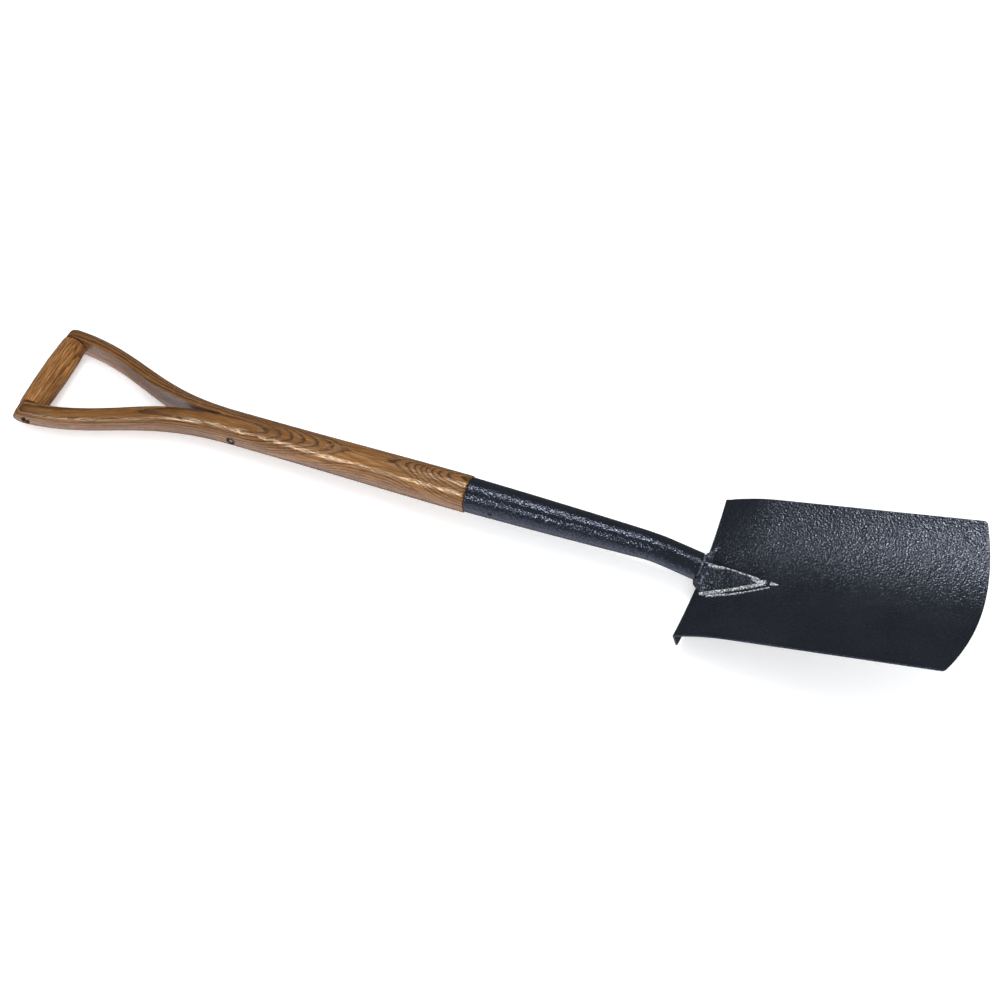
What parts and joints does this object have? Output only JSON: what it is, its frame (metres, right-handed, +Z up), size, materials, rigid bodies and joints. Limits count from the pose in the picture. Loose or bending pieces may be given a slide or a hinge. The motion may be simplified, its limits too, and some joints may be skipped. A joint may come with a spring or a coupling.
{
  "type": "garden spade",
  "caption": "Garden digging spade: dished square steel blade with folded foot treads, welded tapered socket and a varnished ash shaft split into a YD grip with a cross bar.",
  "frame": {"origin": "middle of the whole spade's bounding box, on the surface it lies on", "axes": "+X along the spade from the grip to the cutting edge, +Y across the blade to its left edge seen from above with the grip nearest, +Z up out of the blade's dished face, with the spade lying on its back"},
  "size_m": [1.0628, 0.1838, 0.1128],
  "materials": {
    "blade_paint": "black hammered enamel, fine orange-peel texture, semi-gloss",
    "socket_paint": "black hammered enamel, glossier than the blade",
    "weld": "rough weld beads, thinly painted, light grey where they catch the light",
    "ash_wood": "golden-brown ash with dark growth rings under gloss varnish",
    "grip_wood": "ash with fine lengthwise grain under gloss varnish",
    "rivet_steel": "bright zinc-plated rivet ends",
    "washer_steel": "blackened steel washers, matte"
  },
  "bodies": {
    "root": {"blade": "blade_paint", "frog": "blade_paint", "weld_frog_near": "weld", "weld_frog_far": "weld", "weld_frog_tip": "weld", "weld_tread_far": "weld", "weld_neck": "weld", "weld_rear": "weld", "socket": "socket_paint", "shaft": "ash_wood", "grip_bar": "grip_wood", "grip_rivet": "rivet_steel", "grip_washer_near": "washer_steel", "grip_washer_far": "washer_steel", "fork_rivet": "rivet_steel", "fork_washer_near": "washer_steel", "fork_washer_far": "washer_steel", "socket_rivet": "socket_paint"}
  },
  "joints": []
}
